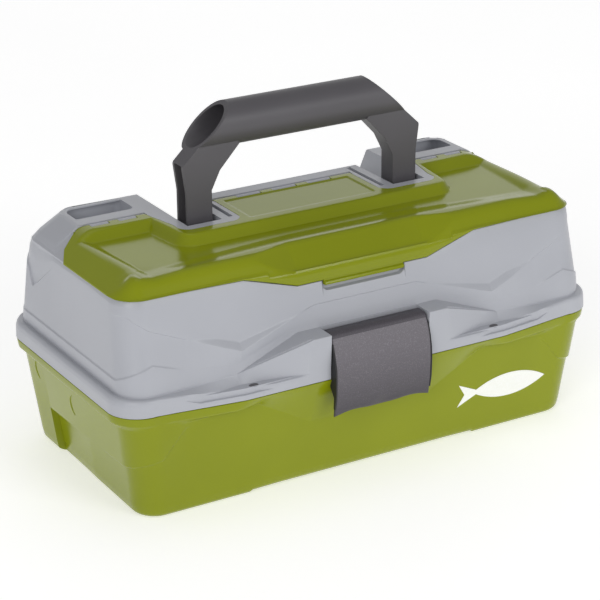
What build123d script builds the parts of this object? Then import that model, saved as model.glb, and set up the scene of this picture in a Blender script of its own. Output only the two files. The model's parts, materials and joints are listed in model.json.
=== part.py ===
"""Hand-carried fishing tackle box with one cantilever tray.

A deep tub, a hinged lid, a second small hinged cover over bins in the lid, a fold-back carry
handle, a front latch and a tray on parallel link arms that swings out as the lid opens.
Millimetres. X runs along the box, -Y is the front, +Z is up. The origin is the centre of the
underside, and the box is a mirror image of itself across X = 0.
"""

import os
from math import atan2, degrees

from build123d import *

os.makedirs("parts", exist_ok=True)

# Driving dimensions
RIM_X, RIM_Y, RIM_R = 171.5, 84.5, 20.0         # half size and corner radius of the rim
FOOT_X, FOOT_Y, FOOT_R = 156.5, 76.1, 16.0      # half size of the underside
RIM_LOW, RIM_TOP = 65.0, 72.0                   # the tub's rim band
WALL = 2.4
FOOT_STEP = 1.0                                 # how far the middle of the floor is raised
FOOT_PAD_X = 82.0                               # the foot pads start here
DRAFT_X, DRAFT_Y = 8.0 / RIM_LOW, 6.9 / RIM_LOW  # how fast the tub widens with height
NOSE = [(135.7, 86.2), (93.5, 92.1)]            # where the rim swells forward to carry the latch

MARK_X, MARK_Z, MARK_THICK = 101.0, 31.0, 0.2   # printed mark on the tub's front
FLANGE_TOP = 79.0                               # lid's rim band
SEAM_Z = 140.0                                  # lower edge of the top cover
LID_TOP = 154.5
DECK_Z = 118.0                                  # underside of the bins in the lid
LID_FOOT = (167.5, 83.4)                        # lid half size at the rim, under the band
LID_SHOULDER = (163.0, 70.3)                    # at the seam
LID_CROWN = (143.5, 62.0)                       # at the top

HINGE_Y, HINGE_Z = 92.0, 73.0                   # lid hinge axis
KNUCKLE_R, HINGE_PIN_R, RUN = 5.5, 1.6, 0.06    # RUN is the radial clearance of a turning fit
KNUCKLE_W, KNUCKLE_GAP = 11.6, 12.0
KNUCKLE_X = [76.0 + KNUCKLE_GAP * i for i in range(5)]

COVER_AXIS_Y, COVER_AXIS_Z = 24.7, 151.6        # top cover hinge axis
COVER_KNUCKLE_R, COVER_BAR_R = 2.9, 1.4
CLIPS = [(0.0, 17.0), (26.0, 17.0), (-26.0, 17.0)]
CLIPS += [(s * x, 12.0) for s in (-1, 1) for x in (111.5, 130.5)]
HINGE_RUNS = [(-50.6, 50.6), (99.0, 143.0), (-143.0, -99.0)]

PIVOT_Y, PIVOT_Z, HANDLE_PIN_R = 4.3, 143.0, 3.0  # handle fold axis
LEG_IN, LEG_OUT, LEG_DEEP = 66.0, 83.4, 13.8
GRIP_Y, GRIP_Z, GRIP_R, GRIP_BORE = 7.6, 210.3, 14.0, 11.6
CHANNEL_IN, CHANNEL_OUT = 62.6, 86.5            # walls of the handle sockets
SLOT_X, SLOT_Y, SLOT_DEEP = (54.0, 57.0), (-7.0, 35.0), 8.0  # slot beside each socket
SOCKET_FRONT, SOCKET_FLOOR = -8.5, 134.5
KNEE_IN = 44.0                                  # the folded handle's knee needs room this far in
PLATFORM_Y = 37.5                               # the middle of the top ends here
GRIP_SEAT_Y, GRIP_SEAT_Z = 56.0, 124.5          # step that clears the folded grip
WELL_X, WELL_Y, WELL_DEEP = (99.5, 141.0), (38.0, 61.0), 9.0
TONGUE_Z = 128.2                                # the cover's lowest front edge
TAB_HALF, TAB_LOW, TAB_Y = 29.5, 124.7, -72.0   # its finger tab

LATCH_HALF, LATCH_Y, LATCH_Z = 34.3, -86.3, 95.0  # latch half width and pivot axis
LATCH_PIN_R = 1.5
LATCH_BACK = -81.0                              # back of the recess behind the latch
FRONT_Y = -97.5                                 # frontmost point of the latch

CRANK = (-60.0, 5.0)                            # link arm from base pivot to tray pivot (Y, Z)
REAR_PIVOT, FRONT_PIVOT = (45.0, 56.0), (-5.0, 46.0)
LID_LINK = (HINGE_Y + CRANK[0], HINGE_Z + CRANK[1])
ARM_X, ARM_T, ARM_R, STUD_R = 156.4, 2.0, 5.5, 2.5
LOOSE = 0.3                                     # radial clearance at the pivots left open

TRAY_X, TRAY_FRONT, TRAY_REAR = 152.8, -71.0, 53.0
TRAY_LOW, TRAY_TOP, TRAY_WALL, TRAY_R = 38.0, 70.0, 1.8, 12.0
TRAY_ROWS = [(TRAY_FRONT + TRAY_WALL, -12.0), (-12.0 + TRAY_WALL, TRAY_REAR - TRAY_WALL)]
DIVIDER_X = [(-76.0, 0.0, 76.0), (-102.0, -51.0, 0.0, 51.0, 102.0)]
COVER_FLOOR = 148.0                             # sunken panel on top of the cover
BIN_SIDE = 143.0                                # outer wall of the lid's bins
BIN_FRONT, BIN_BACK = -60.0, -23.0              # trough of the lid's bins in front of the sockets
GAP = 0.35                                      # clearance between bodies that only sit together


def mirrored(points):
    """The points followed by their mirror images across X = 0, in loop order."""
    return points + [(-x, y) for x, y in reversed(points)]


def save(piece, label):
    """Label a finished piece and write its STEP file."""
    piece.part.label = label
    export_step(piece.part, f"parts/{label}.step")


def tub_half(z):
    """Outer half size of the tub at height z."""
    return FOOT_X + DRAFT_X * z, FOOT_Y + DRAFT_Y * z


def box_between(low, high, mode=Mode.ADD):
    """A box from its lowest to its highest corner, in the part being built."""
    with Locations([tuple((a + b) / 2 for a, b in zip(low, high))]):
        Box(*[b - a for a, b in zip(low, high)], mode=mode)


def rod(radius, x0, x1, y, z, mode=Mode.ADD):
    """A cylinder along X, in the part being built."""
    with Locations([((x0 + x1) / 2, y, z)]):
        Cylinder(radius, abs(x1 - x0), rotation=(0, 90, 0), mode=mode)


# The rim's outline: a rounded rectangle whose front swells forward in the middle
with BuildSketch() as rim_outline:
    with BuildLine():
        Polyline(mirrored([(RIM_X, RIM_Y), (RIM_X, -RIM_Y)] + [(x, -y) for x, y in NOSE]), close=True)
    make_face()
    fillet(rim_outline.vertices().group_by(SortBy.DISTANCE)[-1]
           + rim_outline.vertices().group_by(SortBy.DISTANCE)[-2], RIM_R)

# The top cover's outline: outer edge, then ears round the two handle sockets, then the middle
COVER_OUTLINE = [(161, -95), (161, 8), (156, 19), (143, COVER_AXIS_Y), (99, COVER_AXIS_Y), (93.4, -2),
                 (93.4, -15), (50.6, -15), (50.6, COVER_AXIS_Y)]
with BuildSketch() as cover_outline:
    with BuildLine():
        Polyline(mirrored(COVER_OUTLINE), close=True)
    make_face()

# The front of the cover dips to a tongue in the middle
with BuildSketch() as tongue_outline:
    with BuildLine():
        Polyline(mirrored([(150, SEAM_Z + 5), (150, SEAM_Z), (82.5, SEAM_Z - 1), (46.6, TONGUE_Z)]), close=True)
    make_face()


def cover_space(grow):
    """The room that the top cover takes, widened all round by grow."""
    with BuildPart() as space:
        for plane, outline, height in ((Plane.XY.offset(SEAM_Z - grow), cover_outline, 30),
                                       (Plane.XZ.offset(60), tongue_outline, 40)):
            with BuildSketch(plane):
                if grow:
                    offset(outline.sketch, grow, kind=Kind.INTERSECTION)
                else:
                    add(outline.sketch)
            extrude(amount=height)
    return space.part


def crown_solid(inset):
    """The lid and its cover together: drafted walls, then a shoulder to the flat top."""
    levels = [(RIM_TOP, LID_FOOT, 18), (SEAM_Z, LID_SHOULDER, 17), (LID_TOP - inset, LID_CROWN, 12)]
    with BuildPart() as crown:
        for pair in zip(levels, levels[1:]):
            for z, (half_x, half_y), radius in pair:
                with BuildSketch(Plane.XY.offset(z)):
                    RectangleRounded(2 * (half_x - inset), 2 * (half_y - inset), radius)
            loft(ruled=True)
    return crown.part


crown_outer, crown_inner = crown_solid(0), crown_solid(3)
cover_block, cover_room = cover_space(0), cover_space(GAP)

# ---------------------------------------------------------------- base
with BuildPart() as base_tub:
    with BuildSketch(Plane.XY):
        RectangleRounded(2 * FOOT_X, 2 * FOOT_Y, FOOT_R)
    with BuildSketch(Plane.XY.offset(RIM_LOW)):
        RectangleRounded(2 * tub_half(RIM_LOW)[0], 2 * tub_half(RIM_LOW)[1], FOOT_R + 2)
    loft(ruled=True)
    with BuildSketch(Plane.XY.offset(RIM_LOW)):
        add(rim_outline.sketch)
    extrude(amount=RIM_TOP - RIM_LOW)
    floor = FOOT_STEP + WALL
    for z in (floor, RIM_TOP):
        with BuildSketch(Plane.XY.offset(z)):
            RectangleRounded(2 * (tub_half(z)[0] - WALL), 2 * (tub_half(z)[1] - WALL), FOOT_R - 2)
    loft(ruled=True, mode=Mode.SUBTRACT)
    box_between((-FOOT_PAD_X, -100, 0), (FOOT_PAD_X, 100, FOOT_STEP), mode=Mode.SUBTRACT)
    for side in (-1, 1):
        for y, z in (REAR_PIVOT, FRONT_PIVOT):
            rod(8.0, side * (ARM_X + ARM_T + 0.4), side * (tub_half(z)[0] - 1), y, z)
            rod(STUD_R, side * 150, side * (ARM_X + ARM_T + 3), y, z, mode=Mode.SUBTRACT)
        for x in KNUCKLE_X[::2]:
            rod(KNUCKLE_R, side * (x - KNUCKLE_W / 2), side * (x + KNUCKLE_W / 2), HINGE_Y, HINGE_Z)
            low, high = sorted((side * (x - KNUCKLE_W / 2), side * (x + KNUCKLE_W / 2)))
            box_between((low, RIM_Y - 2, HINGE_Z - KNUCKLE_R), (high, HINGE_Y, HINGE_Z - 2.2))
        rod(HINGE_PIN_R + RUN, side * 60, side * 140, HINGE_Y, HINGE_Z, mode=Mode.SUBTRACT)
save(base_tub, "base_tub")

# Printed fish on the front wall, which leans out as it rises
with BuildPart() as fish_mark:
    wall_up = Vector(0, -DRAFT_Y, 1)
    with BuildSketch(Plane((MARK_X, -tub_half(MARK_Z)[1], MARK_Z), x_dir=(1, 0, 0),
                           z_dir=Vector(1, 0, 0).cross(wall_up))):
        with BuildLine():
            nose, waist_top, waist_low = (34, 0), (-20, 1.6), (-20, -1.6)
            ThreePointArc(nose, (9, 8.2), waist_top)
            Polyline(waist_top, (-34, 8), (-29, 0), (-34, -8), waist_low)
            ThreePointArc(waist_low, (9, -8.2), nose)
        make_face()
    extrude(amount=MARK_THICK)
save(fish_mark, "fish_mark")

for side, name in ((-1, "left"), (1, "right")):
    ends = KNUCKLE_X[0] - KNUCKLE_W / 2, KNUCKLE_X[-1] + KNUCKLE_W / 2
    with BuildPart() as hinge_pin:
        rod(HINGE_PIN_R, side * ends[0], side * ends[1], HINGE_Y, HINGE_Z)
        rod(HINGE_PIN_R + 0.8, side * (ends[0] - 1.0), side * ends[0], HINGE_Y, HINGE_Z)
    save(hinge_pin, f"hinge_pin_{name}")
    for (y, z), which in ((REAR_PIVOT, "rear"), (FRONT_PIVOT, "front")):
        with BuildPart() as arm_rivet:
            rod(STUD_R, side * (ARM_X - 0.4), side * (ARM_X + ARM_T + 3), y, z)
            rod(STUD_R + 1.6, side * (ARM_X - 1.6), side * (ARM_X - 0.3), y, z)
        save(arm_rivet, f"{which}_arm_rivet_{name}")

# ---------------------------------------------------------------- lid
with BuildPart() as lid_shell:
    add(crown_outer)
    with BuildSketch(Plane.XY.offset(RIM_TOP)):
        add(rim_outline.sketch)
    extrude(amount=FLANGE_TOP - RIM_TOP)
    # the proud block that frames the latch, tapering back to the wall either side
    ledge = LATCH_Z + 6
    ConvexPolyhedron([(s * x, y, z) for s in (-1, 1) for x, y, z in (
        (50, -93.5, RIM_TOP), (50, -93.2, ledge), (94, -81, 84.7), (94, -83, RIM_TOP),
        (50, -70, RIM_TOP), (50, -70, ledge))])
    # hollow below the bins
    for z, half_x, half_y in ((RIM_TOP, LID_FOOT[0] - 2.8, LID_FOOT[1] - 2.6), (DECK_Z, 161.4, 72.0)):
        with BuildSketch(Plane.XY.offset(z)):
            RectangleRounded(2 * half_x, 2 * half_y, FOOT_R)
    loft(ruled=True, mode=Mode.SUBTRACT)
    for side in (-1, 1):
        low, high = sorted((side * 95, side * 157))
        box_between((low, 31, DECK_Z - 1), (high, 63, 142), mode=Mode.SUBTRACT)
    # seat of the top cover, then the wall of the bins that stands up inside the cover
    add(cover_room, mode=Mode.SUBTRACT)
    with BuildSketch(Plane.XY.offset(SEAM_Z - 1)) as bin_wall:
        offset(cover_outline.sketch, -6, kind=Kind.INTERSECTION)
        with Locations([(0, -95)]):
            Rectangle(400, 2 * 33, mode=Mode.SUBTRACT)
        Rectangle(2 * BIN_SIDE, 400, mode=Mode.INTERSECT)
    extrude(amount=5.5)
    with BuildSketch(Plane.XY.offset(DECK_Z + 2)):
        offset(bin_wall.sketch, -2, kind=Kind.INTERSECTION)
    extrude(amount=40, mode=Mode.SUBTRACT)
    # a trough that the cover's hinge knuckles turn in, and the clips that hold its bars
    for low, high in HINGE_RUNS:
        rod(COVER_KNUCKLE_R + GAP, low - 1, high + 1, COVER_AXIS_Y, COVER_AXIS_Z, mode=Mode.SUBTRACT)
        box_between((low - 1, COVER_AXIS_Y - 1, COVER_AXIS_Z),
                    (high + 1, COVER_AXIS_Y + COVER_KNUCKLE_R + GAP, LID_TOP + 1), mode=Mode.SUBTRACT)
    for side in (-1, 1):
        low, high = sorted((side * HINGE_RUNS[1][1], side * (HINGE_RUNS[1][1] + 4)))
        box_between((low, COVER_AXIS_Y - 3, COVER_AXIS_Z - 2),
                    (high, COVER_AXIS_Y + COVER_KNUCKLE_R + GAP, LID_TOP + 1), mode=Mode.SUBTRACT)
    for x, width in CLIPS:
        rod(COVER_KNUCKLE_R, x - width / 2, x + width / 2, COVER_AXIS_Y, COVER_AXIS_Z)
        box_between((x - width / 2, COVER_AXIS_Y - 2.0, SEAM_Z - 1),
                    (x + width / 2, COVER_AXIS_Y + 1.6, COVER_AXIS_Z))
        rod(COVER_BAR_R + RUN, x - width / 2, x + width / 2, COVER_AXIS_Y, COVER_AXIS_Z, mode=Mode.SUBTRACT)
    # step at the back where the folded grip rests
    box_between((-CHANNEL_OUT, GRIP_SEAT_Y, GRIP_SEAT_Z), (CHANNEL_OUT, 100, 200), mode=Mode.SUBTRACT)
    with BuildSketch(Plane.YZ.offset(-CHANNEL_OUT)):
        Polygon((PLATFORM_Y, LID_TOP + 1), (PLATFORM_Y, LID_TOP), (GRIP_SEAT_Y + 1, GRIP_SEAT_Z + 6),
                (GRIP_SEAT_Y + 1, LID_TOP + 1), align=None)
    extrude(amount=2 * CHANNEL_OUT, mode=Mode.SUBTRACT)
    for side in (-1, 1):
        # room for the knee of the folded handle
        low, high = sorted((side * KNEE_IN, side * CHANNEL_OUT))
        box_between((low, PLATFORM_Y + 1, SOCKET_FLOOR + 1), (high, GRIP_SEAT_Y + 2, 200), mode=Mode.SUBTRACT)
        # handle socket, open at the back so that the leg can fold down into it
        low, high = sorted((side * CHANNEL_IN, side * CHANNEL_OUT))
        box_between((low, SOCKET_FRONT, SOCKET_FLOOR), (high, 100, 200), mode=Mode.SUBTRACT)
        rod(HANDLE_PIN_R, side * (CHANNEL_IN - 4), side * (CHANNEL_OUT + 4), PIVOT_Y, PIVOT_Z,
            mode=Mode.SUBTRACT)
        low, high = sorted((side * SLOT_X[0], side * SLOT_X[1]))
        box_between((low, SLOT_Y[0], LID_TOP - SLOT_DEEP), (high, SLOT_Y[1], 200), mode=Mode.SUBTRACT)
        # small storage well in the rear block
        with BuildSketch(Plane.XY.offset(LID_TOP - WELL_DEEP)):
            with Locations([(side * sum(WELL_X) / 2, sum(WELL_Y) / 2)]):
                RectangleRounded(WELL_X[1] - WELL_X[0], WELL_Y[1] - WELL_Y[0], 4)
        extrude(amount=30, mode=Mode.SUBTRACT)
        # lug that the tray's link stud passes through
        plate = sorted((side * ARM_X, side * (ARM_X + ARM_T)))
        reach = sorted((side * ARM_X, side * (LID_FOOT[0] - 3)))
        y, z = LID_LINK
        rod(ARM_R, plate[0], plate[1], y, z)
        box_between((plate[0], y - ARM_R, z), (plate[1], y + ARM_R, z + 22))
        box_between((reach[0], y - ARM_R, z + 12), (reach[1], y + ARM_R, z + 22))
        rod(STUD_R, plate[0], plate[1], y, z, mode=Mode.SUBTRACT)
        for x in KNUCKLE_X[1::2]:
            low, high = sorted((side * (x - KNUCKLE_W / 2), side * (x + KNUCKLE_W / 2)))
            rod(KNUCKLE_R, low, high, HINGE_Y, HINGE_Z)
            box_between((low, RIM_Y - 2, HINGE_Z + 2.2), (high, HINGE_Y, HINGE_Z + KNUCKLE_R))
        rod(HINGE_PIN_R + RUN, side * 60, side * 140, HINGE_Y, HINGE_Z, mode=Mode.SUBTRACT)
    # recess behind the latch, and the bore of its pin through the two posts
    box_between((-LATCH_HALF - 0.9, -110, 0), (LATCH_HALF + 0.9, LATCH_BACK, ledge + 1), mode=Mode.SUBTRACT)
    rod(LATCH_PIN_R, -LATCH_HALF - 6, LATCH_HALF + 6, LATCH_Y, LATCH_Z, mode=Mode.SUBTRACT)
    # finger pocket under the cover's tab
    box_between((-TAB_HALF, -110, TAB_LOW - 3.5), (TAB_HALF, TAB_Y + 2.4, TONGUE_Z + 1), mode=Mode.SUBTRACT)
save(lid_shell, "lid_shell")

for side, name in ((-1, "left"), (1, "right")):
    with BuildPart() as handle_pin:
        rod(HANDLE_PIN_R, side * (CHANNEL_IN - 4), side * (CHANNEL_OUT + 4), PIVOT_Y, PIVOT_Z)
    save(handle_pin, f"handle_pin_{name}")
    with BuildPart() as link_stud:
        rod(STUD_R, side * (TRAY_X - 2.6), side * (ARM_X + ARM_T), *LID_LINK)
        rod(STUD_R + 1.6, side * (ARM_X + ARM_T), side * (ARM_X + ARM_T + 1.2), *LID_LINK)
    save(link_stud, f"lid_link_stud_{name}")
    with BuildPart() as bin_divider:
        low, high = sorted((side * 71.0, side * 72.6))
        box_between((low, BIN_FRONT, DECK_Z + 2), (high, BIN_BACK, SEAM_Z + 2))
    save(bin_divider, f"bin_divider_{name}")

with BuildPart() as latch_pin:
    rod(LATCH_PIN_R, -LATCH_HALF - 6, LATCH_HALF + 6, LATCH_Y, LATCH_Z)
save(latch_pin, "latch_pin")

# ---------------------------------------------------------------- cover over the lid's bins
with BuildPart() as cover_hollow:
    with BuildSketch(Plane.XY.offset(TONGUE_Z - 5)):
        offset(cover_outline.sketch, -3, kind=Kind.INTERSECTION)
    extrude(amount=COVER_FLOOR - WALL - TONGUE_Z + 5)
    add(crown_inner, mode=Mode.INTERSECT)

with BuildPart() as top_cover:
    add(crown_outer)
    add(cover_block, mode=Mode.INTERSECT)
    add(cover_hollow.part, mode=Mode.SUBTRACT)
    with BuildSketch(Plane.XY.offset(COVER_FLOOR - WALL - 0.1)):
        with Locations([(0, 2)]):
            Rectangle(94, 30)
    extrude(amount=LID_TOP - COVER_FLOOR, mode=Mode.SUBTRACT)
    # the rear edge is a thin plate, so that it can turn down behind the hinge
    box_between((-170, 12, SEAM_Z - 1), (170, 40, COVER_AXIS_Z - COVER_KNUCKLE_R), mode=Mode.SUBTRACT)
    # sunken panel on top
    with BuildSketch(Plane.XY.offset(COVER_FLOOR)):
        with BuildLine():
            Polyline([(142, 10.5), (136, -50), (44, -50), (44, -27), (99, -27), (104, 10.5)], close=True)
        make_face()
        mirror(about=Plane.YZ)
        with Locations([(0, -38.5)]):
            Rectangle(90, 23)
    extrude(amount=20, mode=Mode.SUBTRACT)
    # tab for the finger
    box_between((-TAB_HALF + 1, TAB_Y - 1.6, TAB_LOW), (TAB_HALF - 1, TAB_Y + 1.6, TONGUE_Z + 2))
    # hinge edge: a round back, notches for the lid's clips, and a bar across each notch
    for low, high in HINGE_RUNS:
        rod(COVER_KNUCKLE_R, low, high, COVER_AXIS_Y, COVER_AXIS_Z)
    for x, width in CLIPS:
        half = width / 2 + GAP
        box_between((x - half, COVER_AXIS_Y - COVER_KNUCKLE_R - GAP, SEAM_Z - 1), (x + half, 40, 200),
                    mode=Mode.SUBTRACT)
        rod(COVER_BAR_R, x - half, x + half, COVER_AXIS_Y, COVER_AXIS_Z)
save(top_cover, "top_cover")

# ---------------------------------------------------------------- carry handle
with BuildPart() as carry_handle:
    with BuildSketch(Plane.XZ.offset(-(PIVOT_Y + LEG_DEEP / 2))):
        with BuildLine():
            Polyline([(LEG_OUT, PIVOT_Z), (LEG_OUT, 172), (85.8, 190), (78, 202), (50, 204), (46, 199),
                      (60, 184), (LEG_IN, 172), (LEG_IN, PIVOT_Z)], close=True)
        leg = make_face()
        knee = [v for v in leg.vertices() if v.Z > 170 and v.X > 55 and v.Z < 186]
        fillet(knee, 12)
        fillet([v for v in leg.vertices() if abs(v.X - 85.8) < 0.1], 5)
        mirror(about=Plane.YZ)
    extrude(amount=LEG_DEEP)
    for side in (-1, 1):
        rod(LEG_DEEP / 2, side * LEG_IN, side * LEG_OUT, PIVOT_Y, PIVOT_Z)
    rod(GRIP_R, -78, 78, GRIP_Y, GRIP_Z)
    # the grip is a tube, cut on a slant at both ends
    rod(GRIP_BORE, -90, 90, GRIP_Y, GRIP_Z, mode=Mode.SUBTRACT)
    for side in (-1, 1):
        with BuildSketch(Plane.XZ.offset(-40)):
            Polygon((side * 46, 228), (side * 85.8, 190), (side * 110, 190), (side * 110, 228), align=None)
        extrude(amount=80, mode=Mode.SUBTRACT)
        # the leg is a channel, open on its outer face
        low, high = sorted((side * (LEG_IN + 3), side * 95))
        box_between((low, PIVOT_Y - 4.6, PIVOT_Z + 8), (high, PIVOT_Y + 4.6, 190), mode=Mode.SUBTRACT)
        rod(HANDLE_PIN_R + RUN, side * 55, side * 95, PIVOT_Y, PIVOT_Z, mode=Mode.SUBTRACT)
save(carry_handle, "carry_handle")

# ---------------------------------------------------------------- latch
with BuildPart() as front_latch:
    with BuildSketch(Plane.YZ.offset(-LATCH_HALF)):
        with BuildLine():
            face = Spline([(-91.0, 99.0), (-95.6, 87.0), (FRONT_Y, 73.0), (-97.1, 60.0), (-95.3, 49.0)])
            Line(face @ 1, (-92.6, 49.0))
            back = Spline([(-92.6, 49.0), (-94.4, 60.0), (-94.8, 73.0), (-92.9, 87.0), (-89.4, 95.0)])
            Polyline([back @ 1, (-86.0, 97.5), (-86.0, 98.2), face @ 0])
        make_face()
        # hook under the tub's rim
        Polygon((-94.6, 60.2), (-89.2, 61.0), (-89.2, 63.4), (-95.0, 63.4), align=None)
        with Locations([(LATCH_Y, LATCH_Z)]):
            Circle(3.4)
    extrude(amount=2 * LATCH_HALF)
    rod(LATCH_PIN_R + RUN, -50, 50, LATCH_Y, LATCH_Z, mode=Mode.SUBTRACT)
save(front_latch, "front_latch")

# ---------------------------------------------------------------- tray and its arms
tray_mid, tray_deep = (TRAY_FRONT + TRAY_REAR) / 2, TRAY_REAR - TRAY_FRONT
with BuildPart() as tray:
    with BuildSketch(Plane.XY.offset(TRAY_LOW)):
        with Locations([(0, tray_mid)]):
            RectangleRounded(2 * TRAY_X, tray_deep, TRAY_R)
    extrude(amount=TRAY_TOP - TRAY_LOW)
    for y0, y1 in TRAY_ROWS:
        with BuildSketch(Plane.XY.offset(TRAY_LOW + TRAY_WALL)):
            with Locations([(0, (y0 + y1) / 2)]):
                RectangleRounded(2 * (TRAY_X - TRAY_WALL), y1 - y0, 5)
        extrude(amount=60, mode=Mode.SUBTRACT)
    for side in (-1, 1):
        # ear that hangs on the lid's stud, and bosses behind the arm pivots
        y, z = LID_LINK
        ear = sorted((side * (TRAY_X - 2.4), side * TRAY_X))
        rod(ARM_R, ear[0], ear[1], y, z)
        box_between((ear[0], y - ARM_R, TRAY_TOP - 6), (ear[1], y + ARM_R, z))
        rod(STUD_R + LOOSE, ear[0], ear[1], y, z, mode=Mode.SUBTRACT)
        for y, z in (REAR_PIVOT, FRONT_PIVOT):
            rod(ARM_R, side * (TRAY_X - 4), side * TRAY_X, y + CRANK[0], z + CRANK[1])
            rod(STUD_R, side * (TRAY_X - 4), side * TRAY_X, y + CRANK[0], z + CRANK[1], mode=Mode.SUBTRACT)
save(tray, "tray")

for row, (y0, y1) in enumerate(TRAY_ROWS):
    for number, x in enumerate(DIVIDER_X[row]):
        with BuildPart() as divider:
            box_between((x - 0.7, y0, TRAY_LOW + TRAY_WALL), (x + 0.7, y1, TRAY_TOP - 2))
        save(divider, f"tray_divider_{'front' if row == 0 else 'rear'}_{number + 1}")

for (y, z), which, radius in ((REAR_PIVOT, "rear", RUN), (FRONT_PIVOT, "front", LOOSE)):
    for side, name in ((-1, "left"), (1, "right")):
        tray_pivot = y + CRANK[0], z + CRANK[1]
        plate = sorted((side * ARM_X, side * (ARM_X + ARM_T)))
        with BuildPart() as arm:
            rod(ARM_R, *plate, y, z)
            rod(ARM_R, *plate, *tray_pivot)
            middle = Vector(sum(plate) / 2, y + CRANK[0] / 2, z + CRANK[1] / 2)
            lean = degrees(atan2(CRANK[1], CRANK[0]))
            with Locations([Location(middle, (lean, 0, 0))]):
                Box(ARM_T, Vector(*CRANK).length, 2 * ARM_R)
            rod(STUD_R + RUN, *plate, y, z, mode=Mode.SUBTRACT)
            rod(STUD_R + radius, *plate, *tray_pivot, mode=Mode.SUBTRACT)
        save(arm, f"{which}_arm_{name}")
        with BuildPart() as tray_rivet:
            rod(STUD_R, side * (TRAY_X - 4), side * (ARM_X + ARM_T + 0.2), *tray_pivot)
            rod(STUD_R + 1.6, side * (ARM_X + ARM_T + 0.2), side * (ARM_X + ARM_T + 1.0), *tray_pivot)
        save(tray_rivet, f"{which}_tray_rivet_{name}")
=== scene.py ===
"""Looks of a fishing tackle box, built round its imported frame.

Lengths in this file are millimetres until a mesh is made. X runs along the box, -Y is the front,
+Z is up. Shells are grids of rows and stations: a station is a place along the wall seen from
above, and a row is a line that runs round the box.
"""
import json
import math

import bmesh
import bpy
import numpy as np
from mathutils import Matrix, Vector


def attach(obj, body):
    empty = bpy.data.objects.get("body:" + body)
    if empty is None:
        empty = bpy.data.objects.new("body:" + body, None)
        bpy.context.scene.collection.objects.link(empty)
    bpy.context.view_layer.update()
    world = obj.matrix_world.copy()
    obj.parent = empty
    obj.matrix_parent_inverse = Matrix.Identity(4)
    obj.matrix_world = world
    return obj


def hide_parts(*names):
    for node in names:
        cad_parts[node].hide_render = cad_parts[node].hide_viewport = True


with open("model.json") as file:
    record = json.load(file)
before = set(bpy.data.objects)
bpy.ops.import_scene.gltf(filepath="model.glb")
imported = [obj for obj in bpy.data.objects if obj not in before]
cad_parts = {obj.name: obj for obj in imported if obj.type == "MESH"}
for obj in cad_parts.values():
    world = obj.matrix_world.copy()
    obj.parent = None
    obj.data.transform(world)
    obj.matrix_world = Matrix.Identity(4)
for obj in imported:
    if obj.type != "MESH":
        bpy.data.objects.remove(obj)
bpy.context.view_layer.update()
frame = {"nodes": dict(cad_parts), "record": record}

MM = 0.001


# ---------------------------------------------------------------- shader maths
class Value:
    """A shader socket. Operators on it add Math nodes."""

    def __init__(self, kit, socket):
        """Remembers the socket and the material kit that it belongs to."""
        self.kit = kit
        self.socket = socket

    def math(self, operation, *others):
        """One Math node of this value and the others."""
        node = self.kit.tree.nodes.new("ShaderNodeMath")
        node.operation = operation
        for slot, value in zip(node.inputs, (self, *others)):
            self.kit.plug(slot, value)
        return Value(self.kit, node.outputs[0])

    def __add__(self, other):
        return self.math("ADD", other)

    __radd__ = __add__

    def __mul__(self, other):
        return self.math("MULTIPLY", other)

    __rmul__ = __mul__

    def __sub__(self, other):
        return self.math("SUBTRACT", other)

    def __rsub__(self, other):
        return (self * -1.0) + other

    def __truediv__(self, other):
        return self.math("DIVIDE", other)

    def __pow__(self, other):
        return self.math("POWER", other)

    def above(self, edge, soft):
        """0 below edge, 1 above edge + soft, with a straight ramp between."""
        ramp = (self - edge) / soft
        return ramp.math("MAXIMUM", 0.0).math("MINIMUM", 1.0)


class Kit:
    """One material and the nodes that make it."""

    def __init__(self, name):
        """Starts a material with a shader, an output and its Object coordinates."""
        self.material = bpy.data.materials.new(name)
        self.material.use_nodes = True
        self.tree = self.material.node_tree
        self.tree.nodes.clear()
        self.shader = self.tree.nodes.new("ShaderNodeBsdfPrincipled")
        out = self.tree.nodes.new("ShaderNodeOutputMaterial")
        self.tree.links.new(self.shader.outputs[0], out.inputs[0])
        self.place = self.node("TexCoord", {}, {}, "Object")

    def plug(self, slot, value):
        """Links a Value to a socket, or sets a plain number or colour on it."""
        if isinstance(value, Value):
            self.tree.links.new(value.socket, slot)
        else:
            slot.default_value = value

    def node(self, kind, settings, values, output=0):
        """A node of that type: settings first, then values or links, and the named output."""
        node = self.tree.nodes.new("ShaderNode" + kind)
        for key, value in settings.items():
            setattr(node, key, value)
        for key, value in values.items():
            self.plug(node.inputs[key], value)
        return Value(self, node.outputs[output])

    def noise(self, scale, detail=2.0, roughness=0.5):
        """Cloudy noise on the Object coordinates, as a number from 0 to 1."""
        values = {"Vector": self.place, "Scale": scale, "Detail": detail, "Roughness": roughness}
        return self.node("TexNoise", {}, values, "Fac")

    def mix(self, share, first, second):
        """A blend of two colours."""
        node = self.tree.nodes.new("ShaderNodeMix")
        node.data_type = "RGBA"
        self.plug(node.inputs[0], share)
        self.plug(node.inputs[6], first)
        self.plug(node.inputs[7], second)
        return Value(self, node.outputs[2])

    def bump(self, height, strength, distance):
        """A normal tilted by a height."""
        values = {"Height": height, "Strength": strength, "Distance": distance}
        return self.node("Bump", {}, values, "Normal")

    def finish(self, **sockets):
        """Fills the shader's sockets by name and gives back the material."""
        for name, value in sockets.items():
            self.plug(self.shader.inputs[name.replace("_", " ")], value)
        return self.material


def colour(red, green, blue):
    """Linear colour from the usual 0 to 255 screen numbers."""
    screen = (red, green, blue)
    return tuple(((c / 255 + 0.055) / 1.055) ** 2.4 if c > 10 else c / 3294.6 for c in screen) + (1.0,)


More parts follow.
